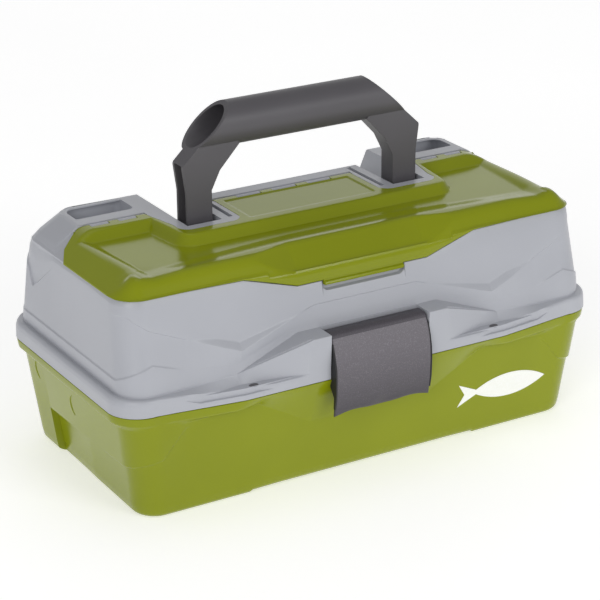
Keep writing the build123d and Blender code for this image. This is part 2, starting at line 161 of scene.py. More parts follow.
def moulded(name, light, dark, rough, grain, grain_deep, gloss=0.5):
    """Injection-moulded plastic: slow drift of tone, fine grain in the surface, a little scuffing."""
    kit = Kit(name)
    drift = kit.noise(9.0, 3.0)
    tone = kit.mix(drift.above(0.35, 0.3), dark, light)
    fine = kit.noise(grain, 4.0, 0.6)
    scuff = kit.noise(60.0, 5.0, 0.7).above(0.62, 0.1)
    normal = kit.bump(fine, 0.35, grain_deep)
    dull = (rough + drift * 0.06) + scuff * 0.05
    return kit.finish(Base_Color=tone, Roughness=dull, Normal=normal, Specular_IOR_Level=gloss)


GREEN = moulded("green_plastic", colour(138, 147, 16), colour(131, 140, 12),
                0.14, 900.0, 0.000012, 0.3)
GREY = moulded("grey_plastic", colour(178, 180, 187), colour(173, 175, 182),
               0.32, 1100.0, 0.00004, 0.4)
HANDLE_DARK = moulded("handle_plastic", colour(88, 86, 90), colour(82, 80, 84),
                      0.42, 1500.0, 0.00008, 0.45)
# near-black as painted shade: it colours the latch's side flanges to stand for the shade in the gaps beside the
# plate
NEAR_BLACK_PAINTED_SHADE = moulded("painted_shade_plastic", colour(32, 31, 34), colour(27, 26, 29), 0.5, 1300.0, 0.00006)
TRAY_GREY = moulded("tray_plastic", colour(196, 198, 203), colour(189, 191, 197),
                    0.4, 1000.0, 0.00004, 0.35)
ARM_DARK = moulded("arm_plastic", colour(66, 65, 69), colour(58, 57, 61), 0.42, 1300.0, 0.00006)


def brushed_steel():
    """Drawn steel wire: grey metal with fine streaks."""
    kit = Kit("steel_wire")
    streak = kit.noise(2400.0, 2.0)
    tone = kit.mix(streak, colour(150, 150, 154), colour(196, 196, 200))
    return kit.finish(Base_Color=tone, Roughness=0.28 + streak * 0.15, Metallic=1.0,
                      Normal=kit.bump(streak, 0.2, 0.00003))


def printed_white():
    """Pad-printed white ink: slightly uneven and satin."""
    kit = Kit("white_print")
    cover = kit.noise(700.0, 3.0)
    tone = kit.mix(cover.above(0.4, 0.3), colour(247, 248, 243), colour(251, 252, 249))
    return kit.finish(Base_Color=tone, Roughness=0.35 + cover * 0.1, Normal=kit.bump(cover, 0.2, 0.00002))


def latch_with_painted_light():
    """Mottled dark plastic with painted light: paler towards the top of the plate, where it faces up to the
    light, and dark again in a thin band along the very top as painted shade.
    """
    kit = Kit("latch_painted_light_plastic")
    height = kit.node("SeparateXYZ", {}, {"Vector": kit.place}, "Z")
    grain = kit.noise(1400.0, 4.0, 0.6)
    # painted highlight: paler from 52 mm up to 86 mm high, and back to the dark tone above 97.5 mm as painted
    # shade under the recess's top edge; the pale speckle of the grain grows with it
    painted_light_band = height.above(0.052, 0.034) * height.math("LESS_THAN", 0.0975)
    tone = kit.mix(painted_light_band, colour(70, 66, 73), colour(104, 100, 106))
    tone = kit.mix(grain.above(0.52, 0.14) * (painted_light_band * 0.5 + 0.15), tone, colour(134, 129, 137))
    return kit.finish(Base_Color=tone, Roughness=0.5 - painted_light_band * 0.06, Normal=kit.bump(grain, 0.35, 0.00016))


LATCH_PAINTED_LIGHT = latch_with_painted_light()
STEEL = brushed_steel()
WHITE = printed_white()


# ---------------------------------------------------------------- mesh makers
def grid_faces(rows, columns, close_rows=False, close_columns=False):
    """Quads between neighbouring points of a rows by columns grid."""
    r = np.arange(rows if close_rows else rows - 1)[:, None]
    c = np.arange(columns if close_columns else columns - 1)[None, :]
    r2, c2 = (r + 1) % rows, (c + 1) % columns
    corners = [r * columns + c, r * columns + c2, r2 * columns + c2, r2 * columns + c]
    return np.stack(corners, -1).reshape(-1, 4)


def finish_piece(name, mesh, material, body, nodes, sharp=34.0):
    """Gives a mesh its object, finish, body and the CAD nodes it stands for."""
    mesh.materials.clear()
    mesh.materials.append(material)
    mesh.shade_smooth()
    if sharp:
        mesh.set_sharp_from_angle(angle=math.radians(sharp))
    piece = bpy.data.objects.new(name, mesh)
    bpy.context.scene.collection.objects.link(piece)
    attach(piece, body)
    if nodes:
        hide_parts(*nodes)
    return piece


def solid_from(name, points, faces, material, body, nodes=(), sharp=34.0):
    """A closed piece from points in millimetres and lists of faces; doubles merged, faces outwards."""
    mesh = bpy.data.meshes.new(name)
    mesh.from_pydata((np.asarray(points).reshape(-1, 3) * MM).tolist(), [], faces)
    bm = bmesh.new()
    bm.from_mesh(mesh)
    bmesh.ops.remove_doubles(bm, verts=bm.verts, dist=2e-6)
    bmesh.ops.dissolve_degenerate(bm, edges=bm.edges, dist=1e-6)
    bmesh.ops.recalc_face_normals(bm, faces=bm.faces)
    bm.to_mesh(mesh)
    bm.free()
    return finish_piece(name, mesh, material, body, nodes, sharp)


def softened(name, node, body, material, width, segments=2, shift=None, angle=32.0, flatten=True):
    """A copy of a CAD node with its edges rounded: doubles merged, flat faces joined, then bevelled."""
    mesh = bpy.data.meshes.new(name)
    bm = bmesh.new()
    bm.from_mesh(frame["nodes"][node].data)
    bmesh.ops.remove_doubles(bm, verts=bm.verts, dist=2e-6)
    if flatten:
        bmesh.ops.dissolve_limit(bm, angle_limit=math.radians(1.5), verts=bm.verts, edges=bm.edges)
    bm.to_mesh(mesh)
    bm.free()
    for attribute in ("custom_normal", "sharp_edge", "sharp_face"):
        if attribute in mesh.attributes:
            mesh.attributes.remove(mesh.attributes[attribute])
    if shift:
        points = np.zeros(len(mesh.vertices) * 3, np.float32)
        mesh.vertices.foreach_get("co", points)
        points = points.reshape(-1, 3).astype(float) / MM
        mesh.vertices.foreach_set("co", (shift(points) * MM).astype(np.float32).ravel())
    piece = finish_piece(name, mesh, material, body, [node])
    bevel = piece.modifiers.new("edges", "BEVEL")
    bevel.width = width * MM
    bevel.segments = segments
    bevel.limit_method = "ANGLE"
    bevel.angle_limit = math.radians(angle)
    bevel.harden_normals = True
    return piece


def rounded_rows(points, radii):
    """Rounds the bends between rows: each row becomes the start, middle and end of a small arc.

    The arc starts radius (or 0.45 of the way to the next row, if that is less) before the row and
    ends as far after it; its middle is a quarter of both ends and half of the row itself.
    """
    rows = [points[0]]
    for k in range(1, len(points) - 1):
        back, on = points[k - 1] - points[k], points[k + 1] - points[k]
        back_long = np.maximum(np.linalg.norm(back, axis=-1, keepdims=True), 1e-6)
        on_long = np.maximum(np.linalg.norm(on, axis=-1, keepdims=True), 1e-6)
        first = points[k] + back * np.minimum(radii[k] / back_long, 0.45)
        last = points[k] + on * np.minimum(radii[k] / on_long, 0.45)
        rows += [first, (first + last) / 4 + points[k] / 2, last]
    return np.stack(rows + [points[-1]])


def both_sides(half):
    """The right half of a loop of stations, followed by its mirror image."""
    return np.concatenate([half, half[:, -2:0:-1] * (-1, 1, 1)], axis=1)


# Stations run from the middle of the front (0) round the corner (151 to 171), along the end
# (171 to 301), round the rear corner (301 to 321) and to the middle of the back (472).
Q = np.unique(np.concatenate([
    np.linspace(0, 151, 122), np.linspace(151, 171, 17), np.linspace(171, 301, 66),
    np.linspace(301, 321, 13), np.linspace(321, 472, 40),
    [29.3, 29.7, 34.9, 35.2, 43.4, 46.6, 48, 50, 80.7, 82.5, 90, 92, 94, 105, 122, 125, 131, 135],
    [249.5, 263, 270.3, 271.5, 278.6, 279.2, 283.8, 292.0, 303.0, 385.3, 385.7]]))


def along(*pairs):
    """A value that changes in straight runs between (station, value) pairs."""
    return np.interp(Q, [p[0] for p in pairs], [p[1] for p in pairs])


def around(z, out, half_x, half_y, radius):
    """Points of a rounded rectangle at height z, pushed outwards by out at each station."""
    flat_x, flat_y = half_x - radius, half_y - radius
    q = Q[None, :]
    front_x = np.where(q <= 122, q, 122 + (q - 122) / 29 * (flat_x - 122))
    turn = np.clip((q - 151) / 20, 0, 1) * (math.pi / 2) + np.clip((q - 301) / 20, 0, 1) * (math.pi / 2)
    nx, ny = np.sin(turn), -np.cos(turn)
    end_y = -flat_y + (q - 171) / 130 * 2 * flat_y
    back = 472 - q
    rear_x = np.where(back <= 122, back, 122 + (back - 122) / 29 * (flat_x - 122))
    centre_x = np.where(q < 151, front_x, np.where(q > 321, rear_x, flat_x))
    centre_y = np.where(q < 171, -flat_y, np.where(q > 301, flat_y, end_y))
    reach = radius + out
    x = centre_x + nx * reach
    y = centre_y + ny * reach
    return np.stack([x, y, z + 0 * x], -1)


def outward(z, front, end, rear, half_x, half_y):
    """How far a row stands out from the plain wall, from its wanted front, end and rear places."""
    corner, rear_corner = np.clip((Q - 151) / 20, 0, 1), np.clip((Q - 301) / 20, 0, 1)
    share = (1 - corner) * (front - half_y(z)) + corner * (1 - rear_corner) * (end - half_x(z))
    return share + rear_corner * (rear - half_y(z))


# ---------------------------------------------------------------- lid
A = np.minimum(Q, 151.0)
RIM = np.interp(A, [0, 93.5, 135.7, 151], [92.1, 92.1, 86.2, 84.5])


def lid_x(z):
    """Half the lid's length at a height, in straight runs."""
    heights = [72, 84.7, 105, 125, 137, 142, 154.5]
    return np.interp(z, heights, [167.5, 166.5, 165.2, 164, 163, 160.6, 143.5])


def lid_y(z):
    """Half the lid's depth at a height: a leaning wall, then the shoulder."""
    return np.where(z < 140, 97.54 - 0.196 * z, np.interp(z, [140, 154.5], [70.1, 62.0]))


def lid_r(z):
    """Radius of the lid's corners at a height."""
    return np.interp(z, [72, 140, 154.5], [18, 17, 12])


SEAM = along((0, 128.2), (46.6, 128.2), (82.5, 138.6), (148, 140))


def lid_skirt():
    """Outer wall of the lid: rows from the lip, over ledge, wedges, band and creases, to the seam.

    Each row has a height per station and a place on the front, end and back; at the back half of the
    ends the rows go on up the shoulder, and in front of that they tuck in under the top cover.
    """
    inside = A < 35.0                                    # behind the latch
    crease = along((0, 100.9), (48, 100.9), (94, 84.7))  # foot of the chevron band
    bulge = np.where(A <= 50, 93.2, 93.2 - (A - 50) * 12 / 44)
    lip = along((0, 75.3), (122, 75.3), (135, 79.0))
    strip = RIM - np.interp(A, [0, 74, 93, 106, 133], [0, 0, 3.2, 3.2, 0])
    wedge = np.interp(A, [0, 50, 80, 94, 105, 122, 135, 151], [92.1, 92.1, 85, 84.5, 86, 88.0, 85.4, 83.6])
    upper = along((0, 114.6), (36.5, 114.6), (90, 99), (122, 110.6), (151, 121), (161, 130), (200, 133),
                  (264.5, 131.6), (283.8, 117.5), (292, 112), (303, 124.5), (310, 131), (472, 131))
    stand = along((0, -0.6), (40, -0.6), (52, 0.3), (90, 3.4), (102, 3.3), (118, 0.5),
                  (126, -0.6), (160, -0.6), (171, 0), (264.5, 0), (283.8, 0.9), (292, 1.4), (303, 1.2), (310, 0))
    facet = along((0, 0.35), (40, 0.35), (55, 0.9), (92, 4.2), (104, 4.0), (122, 0.8),
                  (128, 0.35), (160, 0.35), (472, 0.8))
    second = along((0, 106), (50, 104), (94, 90), (125, 93.5), (151, 101), (168, 91.7), (472, 91.7))
    second_out = along((0, 0), (125, 0), (140, 0.8), (300, 0.9), (315, 0))
    second = np.where(A < 94, crease + 0.35 * (upper - crease), second)
    climb = along((0, 0), (249.5, 0), (263, 0.22), (270.3, 0.7), (271.5, 1), (472, 1))
    rows = []

    def row(z, front, end, rear, radius):
        """Adds a row by its height, its place on the front, end and back, and its rounding."""
        z = z + 0 * Q
        rows.append((z, outward(z, front + 0 * Q, end, rear, lid_x, lid_y), radius))

    def behind(z, place, height):
        """Behind the latch a row lies on the recess wall instead."""
        z = np.where(inside, height, z)
        return z, np.where(inside, np.minimum(81.0, lid_y(z)), place)

    row(*behind(72.0, RIM, 72.0), 171.5, 84.7, 0.5)
    row(*behind(lip, RIM, 76.0), 171.5, 84.7, 0.6)
    row(*behind(lip + 0.05, strip, 79.0), 171.45, 84.6, 0.35)
    row(*behind(along((0, 78.3), (105, 78.3), (125, 80.4), (171, 81.6)), strip, 82.0), 171.0, 84.4, 1.6)
    row(*behind(along((0, 78.8), (105, 78.8), (125, 81.6), (171, 83.3)), wedge, 85.0), 169.2, 83.6, 0.9)
    floor = np.where(A < 94, crease, along((94, 84.7), (125, 82.6), (171, 82.8)))
    row(*behind(floor, np.where(A < 94, bulge, 80.9), 98.0), 166.4, 81.4, 0.35)
    z6 = np.where(A < 94, crease + 0.05, along((94, 85.3), (125, 84.0), (171, 84.2)))
    row(*behind(z6, lid_y(z6) + 0.05, 100.9), lid_x(z6), lid_y(z6), 0.4)
    row(second, lid_y(second) + second_out, lid_x(second) + second_out, lid_y(second), 0.25)
    step = second + 0.9
    row(step, lid_y(step), lid_x(step), lid_y(step), 0.4)
    row(upper, lid_y(upper) + stand, lid_x(upper) + stand, lid_y(upper) + stand, 0.5)
    over = upper + facet
    row(over, lid_y(over), lid_x(over), lid_y(over), 0.7)
    pocket = A < 29.5
    sill = 121.8 + 2.6 * np.clip((A - 25.5) / 4, 0, 1) ** 2
    rows.append((np.where(pocket, sill, over + 0.3 * (SEAM - over)), 0 * Q, 0.5))
    rows.append((np.where(pocket, sill + 0.2, over + 0.6 * (SEAM - over)), np.where(pocket, -3.4, 0), 0.4))
    rows.append((SEAM - 0.2, np.where(pocket, -3.0, 0), 0.3))
    for share, tuck in ((0.3, 1.4), (0.65, 2.2), (1.0, 3.0)):
        z = SEAM - 0.2 + (154.5 - SEAM + 0.2) * climb * share
        rows.append((z, -tuck * (1 - climb) - 3.0 * pocket, 0.6 if share < 1 else 2.2))
    z = SEAM - 0.25 + (154.48 - SEAM + 0.25) * climb
    rows.append((z, -tuck * (1 - climb) - 4.0 - 3.0 * pocket, 0.5))
    z = np.stack([r[0] for r in rows])
    out = np.stack([r[1] for r in rows])
    seat = np.where(Q > 385.5, 124.4, 999.0)             # the folded grip rests on a step at the back
    out = out - np.clip(z - seat, 0, 4)
    z = np.minimum(z, seat)
    outer = rounded_rows(around(z, out, lid_x(z), lid_y(z), lid_r(z)), [r[2] for r in rows])
    z = np.maximum(z - 0.7, 72.0)
    inner = around(z, out - 0.9, lid_x(z), lid_y(z), lid_r(z))[::-1]
    ring = both_sides(np.concatenate([outer, inner]))
    faces = grid_faces(ring.shape[0], ring.shape[1], True, True)
    return solid_from("lid_skirt", ring, faces.tolist(), GREY, "lid", ["lid_shell"], 30.0)


def pull_in(points):
    """Draws the CAD lid's outer walls in, so that they lie just inside the skirt."""
    x, y, z = points.T
    side = np.where(np.abs(x) > 143.45, -1.1 * np.sign(x), 0)
    front = np.where(y < -60, 1.6, 0)
    rear = np.where((y > 61.95) & (y < 82.4), -1.1, 0)
    return np.stack([x + side, y + front + rear, z - np.where(z > 154.4, 0.03, 0)], -1)


def oval_slot(side, name):
    """A small oval drain slot in the wedge: a dished disc whose rim is an ellipse, made in dark plastic as
    painted shade for the hollow of the slot.
    """
    turn, deep = np.linspace(0, 2 * math.pi, 33)[:-1], np.array([0.0, 0.5, 0.9, 1.0, 0.8])[:, None]
    back = np.array([0.9, 0.9, 0.5, 0.0, -0.8])[:, None]
    x = side * 86.8 + 3.4 * deep * np.cos(turn)
    y = -88.6 + back + 1.7 * deep * np.sin(turn) * 0.9
    z = 78.75 - 0.55 * back + 0.7 * deep * np.sin(turn)
    points = np.stack(np.broadcast_arrays(x, y, z), -1)
    faces = grid_faces(5, 32, False, True).tolist() + [list(range(32 * 4, 32 * 5))]
    # the dark handle plastic here is painted shade inside the slot
    return solid_from(name, points, faces, HANDLE_DARK, "lid")


lid_skirt()
softened("lid_core", "lid_shell", "lid", GREY, 0.7, 2, pull_in, flatten=False)


# ---------------------------------------------------------------- top cover
HINGE_Y, HINGE_Z, KNUCKLE_R = 24.7, 151.6, 2.9
CLIPS = [(0.0, 17.0), (26.0, 17.0), (111.5, 12.0), (130.5, 12.0)]


def soft_min(first, second, blend):
    """The lesser of two heights, with a round join about blend wide."""
    h = np.clip(0.5 + 0.5 * (second - first) / blend, 0, 1)
    return second * (1 - h) + first * h - blend * h * (1 - h)


def room(x, y, x0, x1, y0, y1):
    """Distance outside an upright rectangle, negative inside; its corners are round."""
    dx, dy = np.maximum(x0 - x, x - x1), np.maximum(y0 - y, y - y1)
    return np.hypot(np.maximum(dx, 0), np.maximum(dy, 0)) + np.minimum(np.maximum(dx, dy), 0)


def cover_height(a, y):
    """Height of the cover's top: bevels up from the seam, a flat, a sunken U-shaped floor, a panel
    sunk in the middle and one sunk in the front bevel. a is the distance from the middle."""
    half_x, half_y, radius, front_rise, end_rise = 162.9, 70.1, 17.0, 1.62, 0.75
    qx, qy = a - (half_x - radius), -y - (half_y - radius)
    share = qx ** 2 / np.maximum(qx ** 2 + qy ** 2, 1e-9)
    inset = np.maximum(radius - np.hypot(qx, qy), 0)
    corner = 140 + (end_rise * share + front_rise * (1 - share)) * inset
    plain = np.minimum(140 + front_rise * (y + half_y), 140 + end_rise * (half_x - a))
    bevel = np.where((qx > 0) & (qy > 0), corner, plain)
    top = np.interp(y, [-60, -46, -26, -20], [150.6, 151.0, 153.9, 154.5])
    z = soft_min(bevel, top, 6.0)
    # the sunken floor lies outside the raised middle block and inside the outer border
    inner, outer = np.interp(y, [-25, 10.5], [99.5, 104]), np.interp(y, [-50, 10.5], [136, 142])
    block = room(a, y, -200, inner - 12, -15.5, 200) - 12
    front = -37.5 - 9.5 * np.clip((a - 30) / 105, 0, 1) ** 1.3
    ends = np.maximum(np.maximum((a - outer) * 0.36, y - 10.5), 0)
    border = np.hypot(ends, np.clip((front - y) * 0.13, 0, 2.1))
    rise = np.maximum(-block, border)
    floor = 148 + 1.45 * (np.sqrt(np.maximum(rise, 0) ** 2 + 0.16) - 0.4)
    z = soft_min(z, floor, 1.6 + 3.4 * np.clip((a - 118) / 20, 0, 1))
    panel = np.clip(-room(a, y, -1, 46, -14.8, 21.2) / 1.2, 0, 1)
    z = z - 0.7 * panel * panel * (3 - 2 * panel)
    dip = 137.6 + 0.95 * (y + 69.5) + 0.23 * np.maximum(a - 45.5, 0)
    z = soft_min(z, np.where(y < -40, dip, 200.0), 0.5)
    round_back = HINGE_Z + np.sqrt(np.maximum(KNUCKLE_R ** 2 - np.maximum(y - HINGE_Y, 0) ** 2, 0))
    return np.minimum(z, round_back)


def cover_shell():
    """The cover as two sheets on one grid, outer and inner, joined round the edge.

    Columns run across the box and rows from the seam up the front face and back over the top to the
    hinge edge; rows that would pass the outline at a column stop on it.
    """
    edges = [x + side * (w / 2 + gap) for x, w in CLIPS for side in (-1, 1) for gap in (0.34, 0.35)]
    a = np.unique(np.abs(np.concatenate([
        np.linspace(0, 162.9, 150), np.linspace(150, 162.9, 18), edges,
        50.6 + 8 * (1 - np.cos(np.linspace(0, 1.57, 9))), 93.4 - 8 * (1 - np.cos(np.linspace(0, 1.57, 9))),
        [45, 46.6, 47.6, 50.55, 66, 82.5, 93.45, 96.4, 99, 99.05, 143, 156]])))
    x = np.concatenate([-a[:0:-1], a])
    a = np.abs(x)
    seam = np.interp(a, [0, 46.6, 82.5, 148], [128.2, 128.2, 138.6, 140])
    bow = 53.1 + np.sqrt(np.maximum(17.0 ** 2 - np.maximum(a - 145.9, 0) ** 2, 0)) - 70.1
    rear = np.interp(a, [0, 50.55, 50.6, 93.4, 93.45, 99, 143, 157, 162.9],
                     [27.6, 27.6, -15, -15, -2, 24.7, 27.6, 19, 8])
    rear = np.where((a > 99) & (a < 143), 27.6, rear)
    for edge, way in ((50.6, 1), (93.4, -1)):            # round corners at the front of each handle socket
        reach = np.clip(8 - (a - edge) * way, 0, 8)
        rear = np.where((a >= 50.6) & (a <= 93.4), np.maximum(rear, -7 - np.sqrt(64 - reach ** 2)), rear)
    for middle, width in CLIPS:
        rear = np.where(np.abs(a - middle) < width / 2 + 0.345, HINGE_Y - KNUCKLE_R - 0.35, rear)
    top = np.where(a < 66, 137.4, 139.9) - np.where(a < 66, 0, np.clip((82.5 - a) / 16.5, 0, 1) * 0.6)
    seam = np.minimum(seam + 0.4, top - 0.3)
    levels = [(seam + (top - seam) * share, out) for share, out in
              ((0, 0.3), (0.12, 1.0), (0.5, 1.2), (0.85, 1.3), (1, 0.9))]
    rows = [(x, -(lid_y(z) + out + bow), z) for z, out in levels]
    y = np.unique(np.concatenate([
        np.linspace(-69.9, -58, 22), np.linspace(-58, -44, 12), np.linspace(-44, 27.6, 66),
        [-50, -27.5, -15, -18, 12, 21.45, 24.7], HINGE_Y + 2.9 * np.sin(np.linspace(0, 1.57, 7))]))
    y = np.clip(y[:, None], -(70.1 + bow)[None, :] + 0.25, rear[None, :])
    across = np.broadcast_to(x, y.shape)
    z = cover_height(np.abs(across), y)
    outer = np.concatenate([np.stack([np.stack(np.broadcast_arrays(*r), -1) for r in rows]),
                            np.stack([across, y, z], -1)])
    lowest = np.where(y < -45, np.interp(np.abs(across), [46, 50], [133.0, 139.95]), 139.95)
    low = np.maximum(z - 2.4, lowest)
    low = np.minimum(low, z - 0.6)
    low = np.where(y > HINGE_Y, 2 * HINGE_Z - z, low)
    lip = room(np.abs(across), y, 47.6, 96.4, -18, 60) < 0.01
    low = np.where(lip & (y < 12), 140.2, low)
    under = np.stack([across, y, low], -1)
    face = outer[:len(rows)] + (0, 2.2, 0)
    under[:, :, 1] = np.maximum(under[:, :, 1], -68.4 - bow[None, :] * 1.0)
    inner = np.concatenate([face, under])
    count, columns = outer.shape[:2]
    size = count * columns
    sheet = grid_faces(count, columns)
    rim = np.concatenate([np.arange(columns), np.arange(2, count) * columns - 1 + 0,
                          [count * columns - 1], (count - 1) * columns + np.arange(columns - 2, -1, -1),
                          np.arange(count - 2, 0, -1) * columns])
    following = np.roll(rim, -1)
    wall = np.stack([rim, following, following + size, rim + size], -1)
    faces = np.concatenate([sheet, sheet[:, ::-1] + size, wall[:, ::-1]])
    points = np.concatenate([outer.reshape(-1, 3), inner.reshape(-1, 3)])
    return solid_from("cover_shell", points, faces.tolist(), GREEN, "cover",
                      ["top_cover"], 50.0)


def swept(name, profile, x0, x1, round_end, material, body, nodes=(), sharp=34.0):
    """A closed profile of (y, z) carried along X; near each end it shrinks a little towards its middle."""
    profile = np.array(profile)
    middle = profile.mean(axis=0)
    turn = np.array([0.0, 0.3, 0.65, 1.0])
    inset = round_end * (1 - np.sqrt(1 - (1 - turn) ** 2))
    x = np.concatenate([x0 + round_end * turn, x1 - round_end * turn[::-1]])
    draw = np.concatenate([inset, inset[::-1]])
    reach = np.linalg.norm(profile - middle, axis=1).max()
    share = 1 - draw / reach
    ring = middle + (profile[None] - middle) * share[:, None, None]
    points = np.concatenate([np.broadcast_to(x[:, None, None], ring.shape[:2] + (1,)), ring], -1)
    count, around_ = points.shape[:2]
    faces = grid_faces(count, around_, False, True).tolist()
    faces += [list(range(around_))[::-1], list(range((count - 1) * around_, count * around_))]
    return solid_from(name, points, faces, material, body, nodes, sharp)


def circle(y, z, radius, count=24):
    """Points of a circle in the YZ plane."""
    turn = np.linspace(0, 2 * math.pi, count, endpoint=False)
    return np.stack([y + radius * np.cos(turn), z + radius * np.sin(turn)], -1)


cover_shell()
TAB = [(-70.6, 131.0), (-72.9, 130.2), (-73.0, 128.2), (-74.3, 127.6), (-74.8, 126.7), (-74.5, 125.8),
       (-73.5, 125.3), (-71.2, 125.4)]
swept("cover_tab", TAB, -28.5, 28.5, 1.2, GREEN, "cover")
for number, (middle, width) in enumerate([(-x, w) for x, w in CLIPS[1:]] + CLIPS):
    swept(f"cover_bar_{number + 1}", circle(HINGE_Y, HINGE_Z, 1.4), middle - width / 2 - 0.6,
          middle + width / 2 + 0.6, 0.2, GREEN, "cover")


# ---------------------------------------------------------------- latch
def latch_plate():
    """The latch: a bowed plate, front and back sheets on one grid, closed round the edge.

    Its lower edge waves: lowest at both corners and again in the middle, where the face has a shallow
    round dent for the thumb. Its hook is a ridge along the back.
    """
    x = np.concatenate([-34.3 + 1.2 * np.sin(np.linspace(0, 1.57, 5)), np.linspace(-32.4, 32.4, 55),
                        34.3 - 1.2 * np.sin(np.linspace(1.57, 0, 5))])
    x = np.unique(np.round(x, 4))
    edge = np.sqrt(np.maximum(1 - ((np.abs(x) - 33.1).clip(0) / 1.2) ** 2, 0))
    low = 49.3 - 0.75 * np.cos(x / 34.3 * 1.7 * math.pi) - 1.1 * (np.abs(x) / 34.3) ** 6
    share = np.linspace(0, 1, 34)[:, None]
    z = 98.6 + (low[None, :] - 98.6) * share
    face = np.interp(z, [47.5, 49, 60, 66, 73, 80, 87, 94, 98.6],
                     [95.0, 95.2, 96.9, 97.2, 97.35, 96.9, 95.6, 93.2, 91.0])
    dent = np.clip(1 - np.hypot(x[None, :] / 13, (z - 47) / 9), 0, 1)
    face = face - 1.5 * dent * dent * (3 - 2 * dent)
    across = np.broadcast_to(x, z.shape)
    hook = np.interp(z, [59.6, 60.6, 63.2, 63.8], [0, 5.0, 5.0, 0]) * (np.abs(x) < 30.5)
    middle = face - 1.35
    front = np.stack([across, -(middle + 1.35 * edge), z], -1)
    back = np.stack([across, -(middle - 1.35 * edge - hook * (edge > 0.4)), z], -1)
    # both ends of the loop turn over in a small round
    back = back[3:]
    cap = [(-90.2, 99.9), (-88.4, 100.5), (-82.6, 100.7), (-82.2, 100.2), (-82.4, 99.6), (-87.0, 98.4)]
    caps = np.stack([np.stack([x, y + 0 * x, z - 1.0 * (1 - edge)], -1) for y, z in cap])
    foot = (front[-1:] + back[-1:]) / 2 - (0, 0, 0.8)
    rows = np.concatenate([caps[::-1], front, foot, back[::-1]])
    count, columns = rows.shape[:2]
    faces = grid_faces(count, columns, True, False).tolist()
    return solid_from("latch_plate", rows, faces, LATCH_PAINTED_LIGHT, "latch",
                      ["front_latch"], 60.0)


latch_plate()
FLANGE = [(-92.9, 94.6), (-95.35, 87), (-96.95, 80), (-97.4, 73), (-97.25, 66), (-96.9, 60), (-95.6, 52.5),
          (-94.0, 52.5), (-94.6, 60), (-90.5, 66), (-88.4, 80), (-87.4, 94.6)]
# the flanges are the latch's side walls; their near-black finish is painted shade in the gaps beside the plate
swept("latch_flange_left", FLANGE, -34.75, -33.95, 0.2, NEAR_BLACK_PAINTED_SHADE, "latch")
swept("latch_flange_right", FLANGE, 33.95, 34.75, 0.2, NEAR_BLACK_PAINTED_SHADE, "latch")
swept("latch_barrel", circle(-86.3, 95.0, 3.4, 28), -34.0, 34.0, 0.6, LATCH_PAINTED_LIGHT, "latch")


# ---------------------------------------------------------------- base
def tub_x(z):
    """Half the tub's length at a height."""
    return 156.5 + 8.0 / 65 * z


def tub_y(z):
    """Half the tub's depth at a height."""
    return 76.1 + 6.9 / 65 * z


def tub_r(z):
    """Radius of the tub's corners at a height."""
    return 16 + 2 * z / 65


def base_shell():
    """The tub: rows from under the foot, up the wall past its creases to the rim, and down the inside.

    Above the crease line the wall stands proud at the ends, and swells forward to the rim in the
    middle of the front; below it a panel is sunk in each end.
    """
    foot = along((0, 1), (81.5, 1), (82.5, 0), (389.5, 0), (390.5, 1))
    crease = along((0, 40.9), (43.4, 40.9), (80.7, 62.6), (94, 63), (120, 61), (131, 59),
                   (151, 41), (165, 35.6), (171, 34), (278.6, 31), (472, 31))
    panel_end = along((278.6, 0), (279.2, 1))            # the sunk end panel stops here
    proud = along((0, 0), (126, 0), (135, 0.7), (151, 1.0), (171, 1.8), (301, 1.8), (321, 0.6), (330, 0))
    low = proud * panel_end + along((171, 0), (225, -0.3), (278.6, -2.6), (279.2, 0))
    rim_out = outward(72.0 + 0 * Q, RIM, 171.5, 84.5, tub_x, tub_y)
    swell = np.interp(A, [0, 76, 100, 151], [1, 1, 0, 0]) * (Q <= 151)
    front_low = -np.clip((82 - A) / 20, 0, 1) * 0.6 * (Q <= 151)

    def slope(z):
        """Share of the way from the crease up to the rim."""
        return np.clip((z - crease) / (72 - crease), 0, 1)

    rows = []

    def row(z, out, radius):
        """Adds a row by its height, how far it stands out, and its rounding."""
        z = z + 0 * Q
        rows.append((z, out + 0 * Q, radius))

    row(foot, -6.0, 0.3)
    row(foot, -2.6 + front_low, 1.5)
    row(foot + 2.6, -0.3 + front_low * 0.6 + low, 1.0)
    row(7.5, low, 0.5)
    row(np.maximum(crease - 0.8, 8.2), low, 0.25)
    row(crease + 0.4, proud, 0.4)
    z = np.maximum(crease + 0.8, 62.5)
    row(z, proud + swell * slope(z) * rim_out, 0.8)
    z = np.maximum(crease + 1.1, 65.0)
    row(z, (1 - swell) * np.maximum(rim_out - 0.9, proud) + swell * slope(z) * rim_out, 0.5)
    row(66.2, (1 - swell) * rim_out + swell * slope(66.2) * rim_out, 0.5)
    row(71.4, rim_out, 0.15)
    row(71.5, rim_out - 0.9, 0.1)
    row(72.0, rim_out - 0.9, 0.1)
    row(72.0, -2.4, 0.4)
    row(6.0, -2.4, 1.0)
    row(3.4, -4.6, 0.8)
    row(3.4, -9.0, 0.5)
    z = np.stack([r[0] for r in rows])
    out = np.stack([r[1] for r in rows])
    shell = rounded_rows(around(z, out, tub_x(z), tub_y(z), tub_r(z)), [r[2] for r in rows])
    ring = both_sides(shell)
    count, stations = ring.shape[:2]
    faces = grid_faces(count, stations, False, True).tolist()
    points = np.concatenate([ring.reshape(-1, 3), [[0, 0, 1.0], [0, 0, 3.4]]])
    loop = np.arange(stations)
    following = (loop + 1) % stations
    top = (count - 1) * stations
    faces += np.stack([following, loop, loop * 0 + count * stations], -1).tolist()
    faces += np.stack([top + loop, top + following, loop * 0 + count * stations + 1], -1).tolist()
    return solid_from("tub_shell", points, faces, GREEN, "base", ["base_tub"], 28.0)


base_shell()


